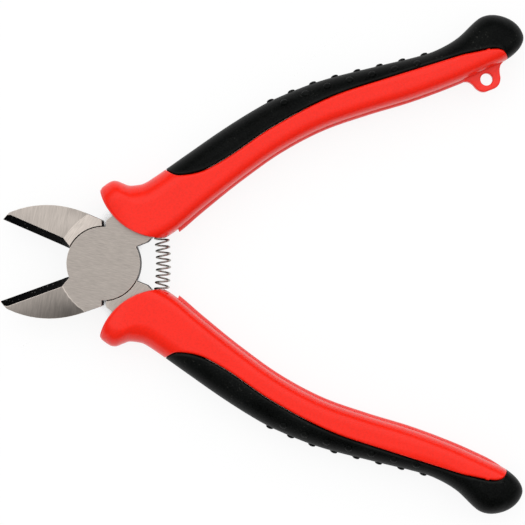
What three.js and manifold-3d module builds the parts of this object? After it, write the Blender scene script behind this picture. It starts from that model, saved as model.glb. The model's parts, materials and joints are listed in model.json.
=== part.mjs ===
// Precision side cutters: two lapped steel halves on a rivet, a coil spring that opens them,
// and a two-material grip on each tang. Millimetres, +Z up. The origin is the centre of the
// head's front face, on the pivot axis. The handles point along +X and the jaws along -X.
import * as THREE from "three";
import { mergeVertices } from "three/addons/utils/BufferGeometryUtils.js";
import Module from "manifold-3d";

const wasm = await Module();
wasm.setup();

// Lap joint
const OPEN_ANGLE = THREE.MathUtils.degToRad(21.6); // each half, away from closed
const HEAD_RADIUS = 11.3;
const HEAD_THICKNESS = 11;
const LAP_GAP = 0.2; // between the two cheek discs
const RECESS_GAP = 0.3; // round each disc, in the other half
const RIVET_RADIUS = 3.5;
const RIVET_HEAD_RADIUS = 5;
const RIVET_HEAD_DEPTH = 1.5;
const RIVET_CLEARANCE = 0.05;

// Jaws
const JAW_LENGTH = 34.3; // pivot to tip
const JAW_HEIGHT = 12.1; // cutting edge to back of jaw
const JAW_ARC_START = 11.3; // where the back begins to fall to the tip
const JAW_ARC_RADIUS = 30.2;
const JAW_TURN = 1.7; // degrees from the handles' middle line to the line where the edges meet
const JAW_ROOT = 2; // the jaw begins here, inside the disc
const JAW_SHOULDER = THREE.MathUtils.degToRad(113.8); // from the handle's side, when closed
const EDGE_GAP = 0.05; // each cutting edge, off the line where they meet
const BEVEL_WIDTH = 2.35;
const BEVEL_START = 11.6; // bevel runs out beside the disc
const BEVEL_START_WIDTH = 0.8;
const BEVEL_FULL = 14.4;
const TIP_SETBACK = 1.1; // the nose leans back by this over the bevel's width
const CREASE_CENTRE = 6.5; // the flank is ground about an upright axis here
const CREASE_RADIUS = 20.8;
const TIP_HALF = 2.6; // half thickness at the tip
const FLANK_CURVE = 36; // radius of the flank across the jaw
const FLANK_BLEND = 0.25; // share of the flank over which that curve begins

// Tangs
const TANG_SHOULDER = THREE.MathUtils.degToRad(64.4);
const TANG_SHOULDER_RADIUS = 13.3;
const TANG_INNER = 1.25; // inner edge, off the closing line
const TANG_NECK = 15; // from here the inner edge rises
const TANG_NECK_END = 19.3;
const TANG_NECK_RISE = 2;
const TANG_END_RISE = 3.4;
const TANG_OUTER = 13.2;
const TANG_OUTER_START = 9.5;
const TANG_OUTER_FALL = 0.6;
const TANG_ROOT_END = 26;
const BAR_END = 118;
const BAR_WIDTH = 6.5;
const BAR_THICKNESS = 6;
const BAR_PLACE = 0.36; // across the grip, from its inner edge
const TANG_FIT = 0.3; // round the tang, in the grip

// Grips: distance from the pivot along the closed handle, then height off the closing line
const GRIP_HALF = 8; // half thickness
const GRIP_START = 6.6;
const GUARD_END = 24;
const GRIP_END = 146.6;
const GUARD_FALL = 2; // the faces slope down to the front of the guard
const GUARD_FALL_END = 13;
const END_ROUND = 11.5; // length of the rounded end, in plan
const END_HEIGHT = 18.9; // height of the very end
const FRONT_ARC = new THREE.Vector2(27.3, 19.5);
const FRONT_ARC_RADIUS = 20.3;
const OUTER_EDGE = [
  [6.6, 21.6], [8.5, 22.4], [11.3, 22.95], [13, 22.45], [14.5, 21.05], [16, 19.75], [18, 19.05],
  [20.5, 18.65], [25, 19.45], [36, 22.1], [48.7, 25.1], [60, 27.25], [68.2, 28.2], [82.8, 28.2],
  [102.3, 25.8], [112, 24.4], [119, 23.85], [127, 24.9], [136.4, 28.35], [146.6, 28.35],
];
const INNER_EDGE = [
  [6.6, 0.5], [19.5, 0.5], [25, 1.5], [34.1, 4.5], [48.7, 8.85], [63.3, 12.45], [78, 14.1],
  [92.5, 13.55], [107.1, 12.35], [121.8, 12.1], [136.4, 12.75], [146.6, 12.6],
];
const SEAM = [
  [28.3, 20.5], [30.5, 17.95], [33, 16.7], [36, 15.9], [40, 15.65], [48.7, 16.9], [63.3, 20.2],
  [82.8, 22.3], [102.3, 21.5], [124, 19.9], [130.5, 18.85], [133.6, 18.3], [136.3, 17.5], [138, 16.2],
  [138.8, 14.6], [139.3, 12],
];
const SEAM_TURNS = [40, 133]; // the seam turns quickly before the first and after the second
const INNER_ROUND = 4.5; // width of the rounded inner side
const OUTER_ROUND = 6.5; // width of the rounded outer side
const SEAM_GAP = 0.4; // groove between body and cushion
const CUSHION_WALL = 3;
const CUSHION_GAP = 0.3; // under the cushion
const CORE_START = 37;
const CORE_END = 134;

// Rib, hang loop and bumps
const RIB_START = 25.2;
const RIB_FADE = 131; // from here the rib sinks into the grip
const RIB_END = 137.5;
const RIB_HEIGHT = 0.7;
const RIB_STEP = 0.3; // extra height at its square start
const RIB_THICKNESS = 3;
const LOOP_CENTRE = new THREE.Vector2(130.9, 9.7);
const LOOP_HOLE_RADIUS = 1.9;
const LOOP_DROP = 3.5; // from the hole's centre to the loop's flat end
const LOOP_FLAT = 1.2; // half width of that end
const LOOP_WAIST = 4.25; // half width a little below the hole's centre
const LOOP_WAIST_DROP = 1;
const LOOP_BEND = 4.8; // half width where its flanks turn, and how far that is under the rib's edge
const LOOP_BEND_DROP = 0.5;
const LOOP_FOOT = 6.6; // half width where it meets the rib
const LOOP_ROOT = 1.5; // how deep the tab reaches into the grip
const BUMP_START = 66.3;
const BUMP_PITCH = 7.06;
const BUMP_COUNT = 8;
const BUMP_RADIUS = 1.2;
const BUMP_HEIGHT = 0.7;
const BUMP_ROW_ANGLE = THREE.MathUtils.degToRad(52); // of the face rows, round the outer side

// Spring, along Y between the open tangs
const SPRING_X = 17.4; // of both ends
const SPRING_RADIUS = 2.1; // to the middle of the wire
const SPRING_WIRE = 0.58;
const SPRING_TURNS = 10;
const SPRING_HALF = 11.2; // half length with its straight ends
const SPRING_BOW = 0.9;
const POCKET_GAP = 0.6; // round and behind the spring
const POCKET_DEPTH = 8;

const steel = new THREE.MeshStandardMaterial({ color: 0xbab2aa, roughness: 0.36, metalness: 1 });
const rivetSteel = new THREE.MeshStandardMaterial({ color: 0xb4ada6, roughness: 0.38, metalness: 1 });
const springSteel = new THREE.MeshStandardMaterial({ color: 0x9c9a96, roughness: 0.3, metalness: 1 });
const red = new THREE.MeshStandardMaterial({ color: 0xe8362c, roughness: 0.5, metalness: 0 });
const black = new THREE.MeshStandardMaterial({ color: 0x1b1d1c, roughness: 0.75, metalness: 0 });

// Smooth height through a few points, by cubic Hermite pieces.
function through(points) {
  const slope = (a, b) => (b[1] - a[1]) / (b[0] - a[0]);
  const last = points.length - 1;
  const tangents = points.map((p, i) => slope(points[Math.max(i - 1, 0)], points[Math.min(i + 1, last)]));
  return (x) => {
    let i = 0;
    while (i < last - 1 && x > points[i + 1][0]) {
      i += 1;
    }
    const width = points[i + 1][0] - points[i][0];
    const t = THREE.MathUtils.clamp((x - points[i][0]) / width, 0, 1);
    const rise = points[i + 1][1] - points[i][1];
    const start = tangents[i] * width;
    const end = tangents[i + 1] * width;
    const square = 3 * rise - 2 * start - end;
    const cube = start + end - 2 * rise;
    return points[i][1] + start * t + square * t ** 2 + cube * t ** 3;
  };
}

// Closed solid from a geometry, turned so that its faces point out.
function solid(geometry) {
  geometry.deleteAttribute("normal");
  geometry.deleteAttribute("uv");
  const merged = mergeVertices(geometry, 1e-4);
  const points = merged.attributes.position.array;
  const corners = merged.index.array;
  const [a, b, c] = [new THREE.Vector3(), new THREE.Vector3(), new THREE.Vector3()];
  let volume = 0;
  for (let i = 0; i < corners.length; i += 3) {
    a.fromArray(points, corners[i] * 3);
    b.fromArray(points, corners[i + 1] * 3);
    c.fromArray(points, corners[i + 2] * 3);
    volume += a.dot(b.cross(c));
  }
  const facing = volume > 0 ? corners : corners.slice().reverse();
  const mesh = new wasm.Mesh({
    numProp: 3,
    vertProperties: new Float32Array(points),
    triVerts: new Uint32Array(facing),
  });
  mesh.merge();
  return new wasm.Manifold(mesh);
}

// Mesh from a solid, with flat shading left to the normals.
function piece(name, body, material) {
  const { vertProperties, triVerts } = body.getMesh();
  const geometry = new THREE.BufferGeometry();
  geometry.setAttribute("position", new THREE.BufferAttribute(vertProperties, 3));
  geometry.setIndex(new THREE.BufferAttribute(triVerts, 1));
  geometry.computeVertexNormals();
  const mesh = new THREE.Mesh(geometry, material);
  mesh.name = name;
  return mesh;
}

// Skin over a row of like rings of points, with flat caps on both ends.
function loft(rings) {
  const count = rings[0].length;
  const cap = THREE.ShapeUtils.triangulateShape(rings[0].map((p) => new THREE.Vector2(p.y, p.z)), []);
  const index = [];
  for (let i = 0; i + 1 < rings.length; i += 1) {
    for (let j = 0; j < count; j += 1) {
      const here = i * count + j;
      const next = i * count + ((j + 1) % count);
      index.push(here, next, next + count, here, next + count, here + count);
    }
  }
  const tail = (rings.length - 1) * count;
  for (const [p, q, r] of cap) {
    index.push(r, q, p, p + tail, q + tail, r + tail);
  }
  const geometry = new THREE.BufferGeometry().setFromPoints(rings.flat());
  geometry.setIndex(index);
  return solid(geometry);
}

// Flat outline raised between two heights.
function prism(shape, bottom, top, curveSegments = 12) {
  const depth = top - bottom;
  const geometry = new THREE.ExtrudeGeometry(shape, { depth, bevelEnabled: false, curveSegments });
  geometry.translate(0, 0, bottom);
  return solid(geometry);
}

function disc(radius, bottom, top, segments = 64) {
  const geometry = new THREE.CylinderGeometry(radius, radius, top - bottom, segments);
  geometry.rotateX(Math.PI / 2);
  geometry.translate(0, 0, (top + bottom) / 2);
  return solid(geometry);
}

function polygon(points) {
  return new THREE.Shape(points.map(([x, y]) => new THREE.Vector2(x, y)));
}

function steps(from, to, count) {
  return Array.from({ length: count + 1 }, (_, i) => from + ((to - from) * i) / count);
}

const headHalf = HEAD_THICKNESS / 2;
const outerEdge = through(OUTER_EDGE);
const innerEdge = through(INNER_EDGE);
const seam = through(SEAM);

// One jaw, below the closing line and turned by some degrees: cutting edge, bevel, ground flank and back.
function jaw(turn) {
  const tipReach = JAW_LENGTH + CREASE_CENTRE;
  const flankHalf = (x, depth, beyond) => {
    const reach = Math.hypot(x - CREASE_CENTRE, depth);
    const q = (reach - CREASE_RADIUS) / (tipReach - CREASE_RADIUS);
    const fall = (headHalf - TIP_HALF) * q;
    const begun = THREE.MathUtils.clamp(q / FLANK_BLEND, -1, 1);
    return headHalf - fall - (begun * beyond ** 2) / (2 * FLANK_CURVE);
  };
  const section = (distance) => {
    const past = Math.max(distance - JAW_ARC_START, 0);
    const back = JAW_HEIGHT - (JAW_ARC_RADIUS - Math.sqrt(JAW_ARC_RADIUS ** 2 - past ** 2));
    const runOut = THREE.MathUtils.clamp((distance - BEVEL_START) / (BEVEL_FULL - BEVEL_START), 0, 1);
    const width = THREE.MathUtils.lerp(BEVEL_START_WIDTH, BEVEL_WIDTH, runOut);
    const bevel = Math.min(EDGE_GAP + width, back - 0.2);
    const upper = steps(0, 1, 5).map((across) => {
      const depth = bevel + (back - bevel) * across;
      return new THREE.Vector3(-distance, -depth, flankHalf(-distance, depth, depth - bevel));
    });
    const lower = upper.map((p) => new THREE.Vector3(p.x, p.y, -p.z)).reverse();
    return [new THREE.Vector3(-distance, -EDGE_GAP, 0), ...upper, ...lower];
  };
  const near = steps(JAW_ROOT, BEVEL_START, 6);
  const runOut = steps(BEVEL_START, BEVEL_FULL, 3).slice(1);
  const far = steps(BEVEL_FULL, JAW_LENGTH, 11).slice(1);
  const nose = [
    [-JAW_LENGTH - TIP_SETBACK, 2 * BEVEL_WIDTH], [-JAW_LENGTH - 2 * TIP_SETBACK, 2 * BEVEL_WIDTH],
    [-JAW_LENGTH - 2 * TIP_SETBACK, -2 * BEVEL_WIDTH], [-JAW_LENGTH + 2 * TIP_SETBACK, -2 * BEVEL_WIDTH],
    [-JAW_LENGTH, 0],
  ];
  const cut = prism(polygon(nose), -HEAD_THICKNESS, HEAD_THICKNESS);
  const body = loft([...near, ...runOut, ...far].map(section)).subtract(cut).rotate([0, 0, turn]);
  const along = new THREE.Vector2(Math.cos(JAW_SHOULDER), -Math.sin(JAW_SHOULDER)).multiplyScalar(60);
  const aside = new THREE.Vector2(-along.y, along.x);
  const beyond = polygon([
    [along.x, along.y], [along.x + aside.x, along.y + aside.y], [aside.x - along.x, aside.y - along.y],
    [-along.x, -along.y],
  ]);
  return body.subtract(prism(beyond, -HEAD_THICKNESS, HEAD_THICKNESS));
}

// Tang: a root as thick as the head, then a thinner bar inside the grip.
function tang(grow) {
  const corner = new THREE.Vector2(Math.cos(TANG_SHOULDER), Math.sin(TANG_SHOULDER));
  corner.multiplyScalar(TANG_SHOULDER_RADIUS);
  const root = polygon([
    [0, 0], [HEAD_RADIUS / 2, TANG_INNER - grow], [TANG_NECK, TANG_INNER - grow],
    [TANG_NECK_END, TANG_INNER + TANG_NECK_RISE - grow],
    [TANG_ROOT_END + grow, TANG_INNER + TANG_END_RISE - grow],
    [TANG_ROOT_END + grow, TANG_OUTER - TANG_OUTER_FALL + grow],
    [TANG_OUTER_START, TANG_OUTER + grow], [corner.x, corner.y + grow],
  ]);
  const middle = (x) => innerEdge(x) + BAR_PLACE * (outerEdge(x) - innerEdge(x));
  const run = steps(TANG_ROOT_END - 4, BAR_END + grow, 12);
  const reach = BAR_WIDTH / 2 + grow;
  const bar = polygon([
    ...run.map((x) => [x, middle(x) - reach]), ...run.reverse().map((x) => [x, middle(x) + reach]),
  ]);
  const rootHalf = headHalf + grow;
  const barHalf = BAR_THICKNESS / 2 + grow;
  return prism(root, -rootHalf, rootHalf).add(prism(bar, -barHalf, barHalf));
}

// Rivet profile turned about the pivot axis; grown by its clearance it makes the bore.
function rivet(grow, past) {
  const neck = headHalf - RIVET_HEAD_DEPTH;
  const profile = [
    [0, -headHalf - past], [RIVET_HEAD_RADIUS + grow + past, -headHalf - past], [RIVET_RADIUS + grow, -neck],
    [RIVET_RADIUS + grow, neck], [RIVET_HEAD_RADIUS + grow + past, headHalf + past], [0, headHalf + past],
  ];
  const geometry = new THREE.LatheGeometry(profile.map(([r, y]) => new THREE.Vector2(r, y)), 40);
  geometry.rotateX(Math.PI / 2);
  return solid(geometry);
}

// Pocket for one end of the spring, in the closed half.
function springPocket() {
  const middle = SPRING_HALF + POCKET_GAP - POCKET_DEPTH / 2;
  const radius = SPRING_RADIUS + SPRING_WIRE / 2 + POCKET_GAP;
  const geometry = new THREE.CylinderGeometry(radius, radius, POCKET_DEPTH, 24);
  geometry.translate(SPRING_X, middle, 0);
  geometry.rotateZ(-OPEN_ANGLE);
  return solid(geometry);
}

// Steel half with its tang up and its jaw down and turned, in the closed position.
function half(turn) {
  const cheek = disc(HEAD_RADIUS, LAP_GAP / 2, headHalf);
  const recess = disc(HEAD_RADIUS + RECESS_GAP, -HEAD_THICKNESS, LAP_GAP / 2);
  const faces = disc(BAR_END * 2, -headHalf, headHalf);
  const blank = jaw(turn).intersect(faces).add(tang(0)).subtract(recess);
  return blank.add(cheek).subtract(rivet(RIVET_CLEARANCE, 0.5)).subtract(springPocket());
}

// Height of the grip's two edges and its half thickness, with the guard sloped and the end drawn in.
function gripEdges(x, inset) {
  const end = GRIP_END - inset;
  const plan = THREE.MathUtils.clamp((x - end + END_ROUND) / END_ROUND, 0, 1);
  const side = THREE.MathUtils.clamp((x - end + GRIP_HALF) / GRIP_HALF, 0, 1);
  const drawn = Math.sqrt(1 - plan ** 2);
  const slope = THREE.MathUtils.clamp((GUARD_FALL_END - x) / (GUARD_FALL_END - GRIP_START), 0, 1);
  return {
    outer: END_HEIGHT + (outerEdge(x) - inset - END_HEIGHT) * drawn,
    inner: END_HEIGHT + (innerEdge(x) - END_HEIGHT) * drawn,
    half: (GRIP_HALF - inset - GUARD_FALL * slope ** 2) * Math.sqrt(1 - side ** 2),
  };
}

// Stations along the whole grip: close at the guard and at the rounded end.
function gripStations() {
  const turn = steps(0, 0.99, 7).map((t) => GRIP_END - END_ROUND * (1 - Math.sin((t * Math.PI) / 2)));
  return [...steps(GRIP_START, GUARD_END, 14), ...steps(GUARD_END, turn[0], 16).slice(1), ...turn.slice(1)];
}

// Skin of the grip, or of its inset core: flat faces with a rounded inner and outer side.
function gripEnvelope(stations, inset) {
  const rings = stations.map((x) => {
    const edge = gripEdges(x, inset);
    const share = Math.min(1, (edge.outer - edge.inner) / (INNER_ROUND + OUTER_ROUND + 1));
    const quarter = steps(0, Math.PI / 2, 4);
    const round = (from, width, a) => [from + width * share * (1 - Math.cos(a)), edge.half * Math.sin(a)];
    const ring = [
      ...quarter.map((a) => round(edge.outer, -OUTER_ROUND, a)),
      ...quarter.reverse().map((a) => round(edge.inner, INNER_ROUND, a)),
    ];
    const under = ring.slice(1, -1).reverse().map(([y, z]) => [y, -z]);
    return [...ring, ...under].map(([y, z]) => new THREE.Vector3(x, y, z));
  });
  return loft(rings);
}

// Everything on the outer side of the seam, or of its groove.
function outsideSeam(gap) {
  const [start, end] = [SEAM[0][0], SEAM[SEAM.length - 1][0]];
  const [first, second] = SEAM_TURNS;
  const stations = [
    ...steps(start, first, 8), ...steps(first, second, 20).slice(1), ...steps(second, end, 9).slice(1),
  ];
  const run = stations.map((x) => [x, seam(x) - gap]);
  const far = GRIP_END + 20;
  const outline = [[start - gap, 50], ...run, [far, SEAM[SEAM.length - 1][1] - 8 - gap], [far, 50]];
  return prism(polygon(outline), -2 * GRIP_HALF, 2 * GRIP_HALF);
}

// Grip with its front cut to the arc of the guard.
function gripBlank() {
  const round = disc(FRONT_ARC_RADIUS, -2 * GRIP_HALF, 2 * GRIP_HALF, 96);
  const arc = round.translate(FRONT_ARC.x, FRONT_ARC.y, 0);
  const front = prism(polygon([[0, -20], [FRONT_ARC.x - 5, -20], [FRONT_ARC.x - 5, 40], [0, 40]]), -20, 20);
  return gripEnvelope(gripStations(), 0).subtract(front.subtract(arc));
}

// Height of the rib on the inner edge: a little more at its square start, sinking away at the far end.
function ribHeight(x) {
  const step = RIB_STEP * (1 - THREE.MathUtils.smoothstep(x, RIB_START, 2 * RIB_START));
  const sink = Math.sqrt(1 - THREE.MathUtils.smoothstep(x, RIB_FADE, RIB_END));
  return (RIB_HEIGHT + step) * sink;
}

// Thin rib along the inner edge.
function rib() {
  const run = steps(RIB_START, RIB_END, 22);
  const outline = [
    ...run.map((x) => [x, gripEdges(x, 0).inner - ribHeight(x)]),
    ...run.reverse().map((x) => [x, gripEdges(x, 0).inner + 2]),
  ];
  return prism(polygon(outline), -RIB_THICKNESS / 2, RIB_THICKNESS / 2);
}

// Tab with the hang hole: a flat end with round corners, flowing into the rib on both sides.
function hangLoop() {
  const { x, y } = LOOP_CENTRE;
  const left = x - LOOP_FOOT;
  const right = x + LOOP_FOOT;
  const edge = (at) => innerEdge(at) - ribHeight(at);
  const end = y - LOOP_DROP;
  const waist = y - LOOP_WAIST_DROP;
  const corner = LOOP_WAIST - LOOP_WAIST_DROP;
  const outline = new THREE.Shape();
  outline.moveTo(left, innerEdge(left) + LOOP_ROOT);
  outline.lineTo(left, edge(left));
  outline.quadraticCurveTo(x - LOOP_BEND, edge(left) - LOOP_BEND_DROP, x - LOOP_WAIST, waist);
  outline.quadraticCurveTo(x - corner, end, x - LOOP_FLAT, end);
  outline.lineTo(x + LOOP_FLAT, end);
  outline.quadraticCurveTo(x + corner, end, x + LOOP_WAIST, waist);
  outline.quadraticCurveTo(x + LOOP_BEND, edge(right) - LOOP_BEND_DROP, right, edge(right));
  outline.lineTo(right, innerEdge(right) + LOOP_ROOT);
  const hole = new THREE.Path();
  hole.absarc(x, y, LOOP_HOLE_RADIUS, 0, 2 * Math.PI, true);
  outline.holes.push(hole);
  return prism(outline, -RIB_THICKNESS / 2, RIB_THICKNESS / 2, 10);
}

function gripCore(gap) {
  return gripEnvelope(steps(CORE_START - gap, CORE_END + gap, 12), CUSHION_WALL - gap);
}

// Hard body: the inner side of the grip and the core under the cushion, hollow for the tang.
function gripBody(blank, withLoop) {
  const ribbed = withLoop ? blank.add(rib()).add(hangLoop()) : blank.add(rib());
  const body = ribbed.subtract(outsideSeam(SEAM_GAP)).add(gripCore(0));
  return body.subtract(tang(TANG_FIT)).subtract(springPocket());
}

// Bump at a place along the grip and an angle round its outer side.
function bump(x, angle) {
  const edge = gripEdges(x, 0);
  const geometry = new THREE.SphereGeometry(1, 8, 4);
  const place = new THREE.Vector3(
    x,
    edge.outer - OUTER_ROUND * (1 - Math.cos(angle)),
    edge.half * Math.sin(angle),
  );
  const normal = new THREE.Vector3(0, Math.cos(angle) / OUTER_ROUND, Math.sin(angle) / edge.half).normalize();
  const turn = new THREE.Quaternion().setFromUnitVectors(new THREE.Vector3(0, 1, 0), normal);
  geometry.scale(BUMP_RADIUS, BUMP_HEIGHT, BUMP_RADIUS);
  geometry.applyQuaternion(turn);
  geometry.translate(place.x, place.y, place.z);
  return solid(geometry);
}

// Soft cushion over the core, with three staggered rows of bumps.
function gripCushion(blank) {
  let cushion = blank.intersect(outsideSeam(0)).subtract(gripCore(CUSHION_GAP));
  for (let i = 0; i < BUMP_COUNT; i += 1) {
    cushion = cushion.add(bump(BUMP_START + i * BUMP_PITCH, 0));
  }
  for (let i = 0; i + 1 < BUMP_COUNT; i += 1) {
    const x = BUMP_START + (i + 0.5) * BUMP_PITCH;
    cushion = cushion.add(bump(x, BUMP_ROW_ANGLE)).add(bump(x, -BUMP_ROW_ANGLE));
  }
  return cushion;
}

// Wire of the spring: a helix round a bowed axis, with a short straight end at each side.
function springLine() {
  const stub = SPRING_WIRE;
  const coilHalf = SPRING_HALF - stub - SPRING_WIRE;
  const count = SPRING_TURNS * 8;
  const line = steps(-1, 1, count).map((t, i) => {
    const turn = (i / 8) * 2 * Math.PI;
    const aside = new THREE.Vector3(coilHalf, 2 * SPRING_BOW * t, 0);
    aside.setLength(-SPRING_RADIUS * Math.cos(turn));
    const middle = new THREE.Vector3(SPRING_X + SPRING_BOW * (1 - t * t), coilHalf * t, 0);
    return middle.add(aside).setZ(SPRING_RADIUS * Math.sin(turn));
  });
  const foot = (p, side) => {
    const bend = p.clone().setY(side * (coilHalf + SPRING_WIRE));
    return [bend, bend.clone().setY(side * SPRING_HALF)];
  };
  return [...foot(line[0], -1).reverse(), ...line, ...foot(line[count], 1)];
}

// Round wire of five sides along a line of points.
function wire(line, diameter) {
  const rings = [];
  const side = new THREE.Vector3(1, 0, 0);
  line.forEach((point, i) => {
    const ahead = line[Math.min(i + 1, line.length - 1)].clone().sub(line[Math.max(i - 1, 0)]).normalize();
    side.addScaledVector(ahead, -side.dot(ahead)).normalize();
    const up = ahead.clone().cross(side);
    const ring = Array.from({ length: 5 }, (_, j) => {
      const a = (j / 5) * 2 * Math.PI;
      const out = side.clone().multiplyScalar(Math.cos(a)).addScaledVector(up, Math.sin(a));
      return point.clone().addScaledVector(out, diameter / 2);
    });
    rings.push(ring);
  });
  const count = 5;
  const index = [];
  for (let i = 0; i + 1 < rings.length; i += 1) {
    for (let j = 0; j < count; j += 1) {
      const here = i * count + j;
      const next = i * count + ((j + 1) % count);
      index.push(here, next, next + count, here, next + count, here + count);
    }
  }
  const tail = (rings.length - 1) * count;
  for (let j = 1; j + 1 < count; j += 1) {
    index.push(0, j + 1, j, tail, tail + j, tail + j + 1);
  }
  const geometry = new THREE.BufferGeometry().setFromPoints(rings.flat());
  geometry.setIndex(index);
  return solid(geometry);
}

// Least clear space between points of the wire that are over half a turn apart.
function leastGap(line, diameter) {
  let least = Infinity;
  for (let i = 0; i < line.length; i += 1) {
    for (let j = i + 5; j < line.length; j += 1) {
      least = Math.min(least, line[i].distanceTo(line[j]) - diameter);
    }
  }
  return least;
}

// A half with its grip, in the open position.
function side(names, jawTurn, withLoop) {
  const group = new THREE.Group();
  group.rotation.z = OPEN_ANGLE;
  const blank = gripBlank();
  group.add(piece(names.half, half(jawTurn), steel));
  group.add(piece(names.body, gripBody(blank, withLoop), red));
  group.add(piece(names.cushion, gripCushion(blank), black));
  return group;
}

const tool = new THREE.Group();
tool.name = "side_cutters";
const middle = new THREE.Group();
middle.name = "middle_plane";
middle.position.z = -headHalf;
tool.add(middle);

const upper = { half: "front_half", body: "upper_grip_body", cushion: "upper_grip_cushion" };
const front = side(upper, -JAW_TURN, true);
front.name = "front_side";
middle.add(front);

const lower = { half: "back_half", body: "lower_grip_body", cushion: "lower_grip_cushion" };
const back = side(lower, JAW_TURN, false);
back.name = "back_side";
const turned = new THREE.Group();
turned.name = "back_turned";
turned.rotation.x = Math.PI;
turned.add(back);
middle.add(turned);

middle.add(piece("pivot_rivet", rivet(0, 0), rivetSteel));

const line = springLine();
console.log(`spring least gap ${leastGap(line, SPRING_WIRE).toFixed(2)} mm`);
middle.add(piece("opening_spring", wire(line, SPRING_WIRE), springSteel));

export default tool;
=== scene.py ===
"""Looks of the side cutters: fine grips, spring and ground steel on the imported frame, and a pale stage."""

import json
import math

import bmesh
import bpy
import numpy as np
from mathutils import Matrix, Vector


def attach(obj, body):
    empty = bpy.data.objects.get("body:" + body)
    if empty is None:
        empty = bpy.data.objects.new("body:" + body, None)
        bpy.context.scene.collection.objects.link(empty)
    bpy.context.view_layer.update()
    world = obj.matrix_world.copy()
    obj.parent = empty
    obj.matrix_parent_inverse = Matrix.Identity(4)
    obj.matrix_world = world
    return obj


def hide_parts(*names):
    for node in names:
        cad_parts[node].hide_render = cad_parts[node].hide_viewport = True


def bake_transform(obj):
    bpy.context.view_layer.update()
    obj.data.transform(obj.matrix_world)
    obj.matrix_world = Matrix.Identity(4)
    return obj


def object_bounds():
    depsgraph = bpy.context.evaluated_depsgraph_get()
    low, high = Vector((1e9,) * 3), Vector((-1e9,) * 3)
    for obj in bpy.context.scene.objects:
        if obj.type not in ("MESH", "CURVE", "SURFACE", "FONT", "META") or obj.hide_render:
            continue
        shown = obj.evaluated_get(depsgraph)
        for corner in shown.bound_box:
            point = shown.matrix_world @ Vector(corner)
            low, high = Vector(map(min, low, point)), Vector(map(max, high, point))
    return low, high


bl_info = {
    "name": "Side cutters",
    "version": (1, 0, 0),
    "blender": (4, 5, 0),
    "location": "3D View > Sidebar > Cutters",
    "description": "Builds the grips, spring, steel finish and stage of a pair of side cutters",
    "category": "Add Mesh",
}

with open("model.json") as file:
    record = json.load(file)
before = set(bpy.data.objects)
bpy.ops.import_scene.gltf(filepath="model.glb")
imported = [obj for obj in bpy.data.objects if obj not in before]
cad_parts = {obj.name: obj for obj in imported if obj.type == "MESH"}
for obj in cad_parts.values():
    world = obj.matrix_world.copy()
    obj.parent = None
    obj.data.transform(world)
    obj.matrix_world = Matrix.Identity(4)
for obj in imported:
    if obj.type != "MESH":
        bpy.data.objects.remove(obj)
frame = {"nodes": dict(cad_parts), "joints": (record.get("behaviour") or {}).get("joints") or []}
CAD_BOX = [list(corner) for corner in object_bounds()]

MM = 0.001
PIVOT = frame["joints"][0]["pos_m"]
FRONT, BACK = "front_side", "back_side"
QUARTER, FULL_TURN = math.pi / 2, 2 * math.pi
# Least number to divide by, and the small step that finds a slope or stands off an edge.
TINY, PROBE = 1e-6, 1e-3

# Plan sizes in millimetres, in the closed position: along the handle from the pivot, then off the
# closing line. The upper side is turned open by OPEN_ANGLE, and the lower side is that turned over.
OPEN_ANGLE = math.radians(21.6)
OPEN_COS, OPEN_SIN = math.cos(OPEN_ANGLE), math.sin(OPEN_ANGLE)

# Steel head: half its thickness, the cutting bevel's width, where the jaw starts, and the rivet.
HEAD_HALF = 5.5
BEVEL_WIDTH = 2.35
JAW_START = 11.3
RIVET_RADIUS, RIVET_HEAD_RADIUS, RIVET_HEAD_DEPTH = 3.5, 5.0, 1.5
RIVET_SINK_RADIUS, RIVET_CHAMFER, RIVET_REACH = 5.05, 0.08, 6.0
RIVET_POINTS = 80
# Points of the steel halves closer than MERGE are joined, and those closer than SNAP to a face of the
# head are set on it, so that the edges can be rounded.
MERGE, SNAP = 0.06, 0.02
# Places of the finishes in a steel half's list of materials.
FACE_FINISH, FLANK_FINISH, BEVEL_FINISH, RIM_FINISH, WORN_HIGHLIGHT_FINISH = range(5)
# Least share of Z in the normal of a flat face and of a flank.
FLAT, FLANK = 0.9999, 0.35
# A bevel's normal leans this far to the closing line, and its middle lies this close to the bevel.
BEVEL_LEAN, BEVEL_SLACK = 0.3, 0.3
# Angles between two faces, in radians, past which their edge is sharp, sharp beside a flat face, the
# crease of a flank, and a worn corner with a painted highlight; then the corner's share of the rounding,
# and the angle under which two faces are made one.
SHARP, FLAT_SHARP, CREASE, CORNER = 0.5, 0.01, 0.05, 0.65
CORNER_SHARE = 0.6
FLUSH = math.radians(0.2)
# Directions of the grinding, how much brighter than the disc the land and the tang are, and the distance
# in metres, to each side of the pivot, over which one goes over to the other.
DISC_RUN, LAND_RUN, FLANK_RUN = math.radians(-12), math.radians(50), math.radians(80)
LAND_LEVEL, TANG_LEVEL, TANG_FADE = 1.5, 1.04, 0.006

# Grip: half its thickness, its ends, the fall of the faces to the guard, its rounds, and the least flat
# left between two rounds. The inner side's round has a power: 2 is an ellipse, and more is fuller.
GRIP_HALF = 8.0
GRIP_START = 6.6
GRIP_END = 146.6
GUARD_FALL, GUARD_FALL_END = 2.0, 13.0
END_ROUND = 11.5
END_HEIGHT = 18.9
FRONT_ARC = (27.3, 19.5)
FRONT_ARC_RADIUS = 20.3
INNER_ROUND, INNER_POWER = 4.5, 3.0
OUTER_ROUND = 6.5
FLAT_LEAST = 1.0
OUTER_EDGE = (
    (6.6, 21.6), (8.5, 22.4), (11.3, 22.95), (13, 22.45), (14.5, 21.05), (16, 19.75), (18, 19.05),
    (20.5, 18.65), (25, 19.45), (36, 22.1), (48.7, 25.1), (60, 27.25), (68.2, 28.2), (82.8, 28.2),
    (102.3, 25.8), (112, 24.4), (119, 23.85), (127, 24.9), (136.4, 28.35), (146.6, 28.35),
)
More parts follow.
